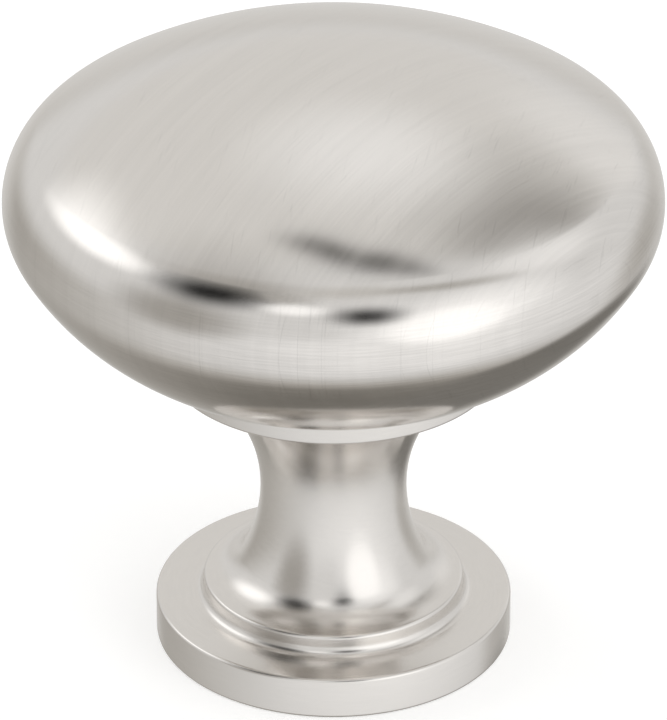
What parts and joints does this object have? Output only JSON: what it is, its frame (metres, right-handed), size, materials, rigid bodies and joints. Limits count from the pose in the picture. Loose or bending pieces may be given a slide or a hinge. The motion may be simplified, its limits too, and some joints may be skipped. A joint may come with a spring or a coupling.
{
  "type": "cabinet knob",
  "caption": "Mushroom-headed cabinet knob with a domed round head, collar, waisted neck and stepped round foot, tapped up the middle for its screw.",
  "frame": {"origin": "centre of the foot's flat face, which bears on the door or drawer front", "axes": "+Z along the knob's axis, from the foot to the crown; X and Y are alike, because the knob is round"},
  "size_m": [0.0318, 0.0318, 0.0313],
  "materials": {
    "satin_nickel": "satin nickel plate over a zinc casting, finely brushed and lacquered"
  },
  "bodies": {
    "root": {"knob_body": "satin_nickel"}
  },
  "joints": []
}
